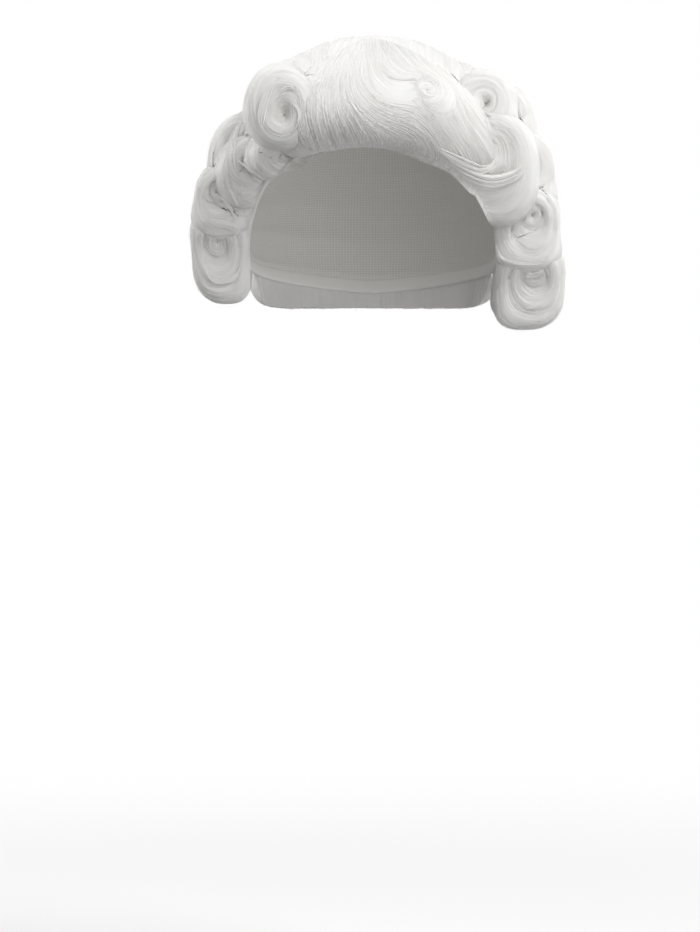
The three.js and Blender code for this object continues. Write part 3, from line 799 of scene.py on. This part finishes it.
def front_roll_lay():
    rng = np.random.default_rng(41)
    rows, shown, hidden = 270, 88, 12
    ends, middle = 55, 7
    turn = np.linspace(middle - ends, middle + ends, rows)[:, None]
    angle = np.concatenate([np.linspace(-125, 110, shown), np.linspace(118, 227, hidden)])[None] * DEG
    closing = np.sqrt(np.clip(1 - np.abs((turn - middle) / ends) ** 8, 0.002, 1))
    axis = roll_point(turn, angle).mean(1, keepdims=True)
    shape = axis + (roll_point(turn, angle) - axis) * closing[..., None]

    # The hair goes straight up on one side, sweeps ever more sideways towards the other
    # and swirls round the crest curl
    lower = smooth((0.7 - np.sin(angle)) / 1.7)
    sweep = (8 + 74 * smooth((turn + 22) / 75)) * MM
    away = np.linalg.norm(shape - curl_centre(CREST, 0.0), axis=-1) / SWIRL_REACH
    away = np.clip(away, 0.12, 1)
    swirl = SWIRL * (np.log(away) + (1 - away ** 2) / 2)
    u = turn * DEG * ROLL_PATH[1] * 1.2 - sweep * lower + swirl
    v = angle * ROLL_DEPTH + 0 * turn
    upper = 1 - 0.6 * smooth((angle / DEG - 40) / 50)
    strands = {
        "rng": rng, "rows": rng.random(ROLL_STRANDS) * (rows - 4) + 2,
        "columns": rng.random(ROLL_STRANDS) * (shown - 4), "lengths": (22, 60),
    }
    return Lay("front_roll_hair", "front_roll", shape, axis, True, stack(u, v),
               furrows(u, v, 300, LOCK_SCALES) * upper, 1 + 0 * u, strands, push_aside)


def nape_roll_lay():
    rng = np.random.default_rng(77)
    rows, columns = 280, 48
    turn = np.linspace(NAPE_ENDS[0], NAPE_ENDS[1], rows)[:, None] * DEG
    angle = np.linspace(-60, 300, columns, endpoint=False)[None] * DEG
    share = np.linspace(-1, 1, rows)[:, None]
    taper = (1 - 0.35 * np.abs(share) ** 4) * np.sqrt(np.clip(1 - np.abs(share) ** 30, 0.0025, 1))
    outward = stack(np.sin(turn), -np.cos(turn), 0 * turn)
    base = outward * reach(outward, DOME_HALF, DOME_SQUARENESS)[..., None] + np.array([0, DOME_SHIFT, 0])
    centre = base - outward * (NAPE_INSET + NAPE_RADIUS) + np.array([0, 0, -NAPE_DROP])
    size = NAPE_RADIUS * taper
    rise = stack(0 * angle, 0 * angle, size * np.sin(angle))
    shape = centre + outward * (size * np.cos(angle))[..., None] + rise
    u = turn * 0.1 + 0 * angle
    v = angle * NAPE_RADIUS + 0 * turn
    strands = {
        "rng": rng, "rows": rng.random(NAPE_STRANDS) * (rows - 4) + 2,
        "columns": rng.random(NAPE_STRANDS) * columns, "lengths": (20, 45),
    }
    return Lay("nape_roll_hair", "nape_roll", shape, centre, True, stack(u, v),
               furrows(u, v, 900, LOCK_SCALES), 1 + 0 * u, strands)


def dome_point(side, over):
    """A point of the combed dome: side is the lateral angle, over goes from front to back."""
    ray = stack(np.sin(side), -np.cos(over) * np.cos(side), np.sin(over) * np.cos(side))
    point = ray * reach(ray, DOME_HALF, DOME_SQUARENESS)[..., None]
    return point + np.array([0, DOME_SHIFT, -DOME_DROP])


def combed_lay(name, node, seed, side_limit, start, end, fades, count, columns):
    """Hair combed over the dome between two lines across it, given for each lateral angle.

    fades holds, for each line, over what length the hair sinks under its neighbour, and how far.
    """
    rng = np.random.default_rng(seed)
    rows = 400
    side = np.linspace(-side_limit, side_limit, rows)[:, None] * DEG
    share = np.linspace(0, 1, columns)[None]
    first, last = start(np.abs(side) / DEG) * DEG, end(np.abs(side) / DEG) * DEG
    over = first + (last - first) * share
    wave = 1.1 * DEG * np.sin(over * 5 + side * 3) * np.cos(side)
    shape = dome_point(side + wave, over)
    u = side * DOME_HALF[2] + 0 * over
    v = over * DOME_HALF[2]
    jag = 10 * MM * (noise(u / (5 * MM), 0 * u, 502) - 0.5)
    begun = (over - first) * DOME_HALF[2] + jag
    left = (last - over) * DOME_HALF[2] - jag
    beside = (side_limit * DEG - np.abs(side)) * DOME_HALF[2]
    (begin_fade, begin_sink), (end_fade, end_sink) = fades
    sink = (
        begin_sink * (1 - smooth(begun / begin_fade)) + end_sink * (1 - smooth(left / end_fade))
        + EDGE_SINK * (1 - smooth(beside / (9 * MM)))
    )
    edges = np.minimum(np.minimum((over - first), (last - over)) * DOME_HALF[2], beside)
    depth = furrows(u, v, 500, LOCK_SCALES) * np.cos(side) ** 0.3
    strands = {
        "rng": rng, "rows": rng.random(count) * (rows - 4) + 2,
        "columns": rng.random(count) * columns * 0.8, "lengths": (35, 90),
    }
    return Lay(name, node, shape, np.array([0, 0, -DOME_DROP]), False, stack(u, v),
               depth, 1 + 0 * u, strands, sink=sink, swell=smooth(edges / (18 * MM)))


def front_angle(side):
    """Where the crown hair begins, in degrees over the dome: behind the front roll."""
    return 40 - 14 * smooth((side - 14) / 32)


def split_angle(side):
    """Where the crown hair gives way to the back hair, in degrees over the dome."""
    return 155 - 52 * smooth((side - 35) / 32)


def nape_angle(side):
    """Where the back hair ends, in degrees over the dome: level, under the nape roll's top."""
    return 180 + np.arcsin(np.minimum(0.97, 0.411 / np.cos(side * DEG))) / DEG


# Pockets, and locks over the others

def pocketed(grid, x, z, radius, deep):
    """The grid, with what faces the front pushed back round a spot at x and z, all in mm."""
    away = np.hypot(grid[..., 0] - x * MM, grid[..., 2] - z * MM) / (radius * MM)
    back = deep * MM * smooth(1.5 - away) * (grid[..., 1] < 0)
    return grid + stack(0 * back, back, 0 * back)


def front_tree(hairs):
    """The faces of every form, without its strands, to lay locks on from the front."""
    points, faces, count = [], [], 0
    for hair in hairs:
        points.append(hair.points[0])
        faces.append(hair.faces[0] + count)
        count += len(hair.points[0])
    return BVHTree.FromPolygons(np.concatenate(points).tolist(), np.concatenate(faces).tolist())


def dropped(tree, line, start, end, lift):
    """The stretch of a curve from start to end, as shares, laid on what it meets.

    The curve is given from the front, by x and z in mm.
    """
    line = np.array(line, float) * MM
    share = walked(line) / walked(line)[-1]
    t = np.linspace(start, end, WISP_POINTS)
    table = {"turn": list(share), "x": list(line[:, 0]), "z": list(line[:, 1])}
    x, z = between(table, "x", t), between(table, "z", t)
    y = []
    for px, pz in zip(x, z):
        hit = tree.ray_cast(Vector((px, DROP_FROM, pz)), Vector((0, 1, 0)))[0]
        y.append(hit.y if hit else (y[-1] if y else DROP_MISSED))
    y = np.array(y)
    near = WISP_EVENING
    lowest = np.array([y[max(0, i - near): i + near + 1].min() for i in range(WISP_POINTS)])
    kernel = np.ones(2 * near + 1) / (2 * near + 1)
    even = np.convolve(np.pad(lowest * 0.5 + y * 0.5, near, mode="edge"), kernel, "valid")
    y = np.convolve(np.pad(np.minimum(even, y), 1, mode="edge"), (0.25, 0.5, 0.25), "valid")
    return stack(x, y - lift, z)


def wisp(hair, tree, line, width, count, seed):
    """A thin lock of loose strands, laid on what it meets."""
    rng = np.random.default_rng(seed)
    line = np.array(line, float)
    across = unit(np.gradient(line, axis=0)[:, ::-1] * (-1, 1))
    spread = np.sin(np.linspace(0.1, 0.9, len(line)) * math.pi)[:, None]
    paths = []
    for offset in rng.uniform(-0.5, 0.5, count):
        own = line + across * (offset * width * spread)
        start, end = rng.uniform(0, 0.25), rng.uniform(0.75, 1)
        paths.append(dropped(tree, own, start, end, rng.uniform(0.2, 1.0) * MM))
    paths = np.stack(paths)
    normals = np.array([0, -1.0, 0]) + 0 * paths
    hair.add_strands(paths, normals, np.full(count, 1.2 * STRAND_RADIUS), 1 + 0.15 * rng.random((count, 1)))


# Stage

def area_light(name, place, aim, size, power):
    data = bpy.data.lights.new(name, "AREA")
    data.shape = "RECTANGLE"
    data.size, data.size_y = size
    data.energy = power
    light = bpy.data.objects.new(name, data)
    light.visible_camera = False
    light.location = place
    light.rotation_euler = (Vector(aim) - Vector(place)).to_track_quat("-Z", "Y").to_euler()
    bpy.context.collection.objects.link(light)


def studio():
    scene = bpy.context.scene
    scene.view_settings.view_transform = "Standard"
    world = bpy.data.worlds.new("studio")
    scene.world = world
    world.use_nodes = True
    tree = world.node_tree
    toward = tree.nodes.new("ShaderNodeTexCoord")
    lit = tree.nodes.new("ShaderNodeVectorMath")
    lit.operation = "DOT_PRODUCT"
    lit.inputs[1].default_value = WORLD_LIGHT
    tree.links.new(toward.outputs["Generated"], lit.inputs[0])
    ray = tree.nodes.new("ShaderNodeLightPath")
    room = math_node(tree, "MULTIPLY_ADD", lit.outputs["Value"], WORLD_SWING, WORLD_LEVEL)
    seen = math_node(tree, "MAXIMUM", room, ray.outputs["Is Camera Ray"])
    tree.links.new(seen, tree.nodes["Background"].inputs["Strength"])
    tree.nodes["Background"].inputs["Color"].default_value = (1, 1, 1, 1)

    aim = (0, 0, -0.06)
    area_light("key", (0.8, -1.0, 1.25), aim, (0.7, 0.7), 13)
    area_light("bounce", (0.6, -0.9, -0.5), aim, (0.8, 0.5), 1.4)
    area_light("left_rim", (-1.3, 0.1, 0.4), aim, (0.8, 0.8), 8)
    area_light("right_rim", (1.1, 1.1, 0.4), aim, (0.8, 0.8), 3)


def floor():
    drop, radius = 560 * MM, 5.0
    bpy.ops.mesh.primitive_circle_add(vertices=128, radius=radius, fill_type="NGON", location=(0, 0, -drop))
    ob = bpy.context.object
    ob.name = "floor"
    material, tree, shader = material_tree("pale_floor")
    coords = tree.nodes.new("ShaderNodeTexCoord")
    length = tree.nodes.new("ShaderNodeVectorMath")
    length.operation = "LENGTH"
    tree.links.new(coords.outputs["Object"], length.inputs[0])
    fade = tree.nodes.new("ShaderNodeMapRange")
    fade.interpolation_type = "SMOOTHERSTEP"
    fade.inputs["From Min"].default_value = 0.2
    fade.inputs["From Max"].default_value = 1.8
    tree.links.new(length.outputs["Value"], fade.inputs["Value"])
    black, pale, white = (0, 0, 0), (0.92, 0.92, 0.92), (1, 1, 1)
    near = ramp(tree, fade.outputs["Result"], 0, 1, pale, black)
    far = ramp(tree, fade.outputs["Result"], 0, 1, black, white)
    tree.links.new(near, shader.inputs["Base Color"])
    tree.links.new(far, shader.inputs["Emission Color"])
    shader.inputs["Emission Strength"].default_value = 1.0
    shader.inputs["Specular IOR Level"].default_value = 0
    shader.inputs["Roughness"].default_value = 1
    ob.data.materials.append(material)
    ob.visible_diffuse = False
    ob.visible_glossy = False


def camera():
    data = bpy.data.cameras.new("camera")
    data.sensor_width = SENSOR
    data.lens = SENSOR * CAMERA_DISTANCE / (IMAGE_HEIGHT * PIXEL)
    data.clip_end = 50
    ob = bpy.data.objects.new("camera", data)
    below = (IMAGE_HEIGHT / 2 - SEAT_PX[1]) * PIXEL
    ob.location = ((IMAGE_WIDTH / 2 - SEAT_PX[0]) * PIXEL, WIG_FRONT - CAMERA_DISTANCE, 0)
    ob.rotation_euler = (math.pi / 2 - math.atan(below / CAMERA_DISTANCE), 0, 0)
    bpy.context.collection.objects.link(ob)
    bpy.context.scene.camera = ob


camera()
studio()
floor()
lays = [
    front_roll_lay(),
    nape_roll_lay(),
    combed_lay("crown_locks", "crown_hair", 51, 68, front_angle, split_angle,
               ((6 * MM, EDGE_SINK), (15 * MM, PARTING_SINK)), CROWN_STRANDS, 88),
    combed_lay("back_locks", "back_hair", 52, 86, lambda side: split_angle(side) - 9, nape_angle,
               ((15 * MM, PARTING_SINK), (6 * MM, EDGE_SINK)), BACK_STRANDS, 66),
]
lays += [curl_lay(curl, 1000 + 10 * number) for number, curl in enumerate(CURLS)]
for name, *pocket in POCKETS:
    for lay in lays:
        if lay.name == name:
            lay.grid = pocketed(lay.grid, *pocket)

trees = {lay.name: lay.tree() for lay in lays}
# Crown and back hair are one combed surface, so they don't swell into each other
combed = {"crown_locks", "back_locks"}
grids = []
for lay in lays:
    others = [other for other in lays if other is not lay and not {lay.name, other.name} <= combed]
    grids.append(lay.merged(others, trees))
hairs = {}
for lay, grid in zip(lays, grids):
    lay.grid = grid
    hairs[lay.name] = lay.hair()

tree = front_tree(hairs.values())
for number, (name, line, width, count) in enumerate(WISPS):
    wisp(hairs[name], tree, line, width, count, 2000 + number)

cap_piece(cap_material())
looks = [hair_material("white_hair", 0.45), hair_material("white_strands", 0)]
for lay in lays:
    hairs[lay.name].piece(looks, lay.node)
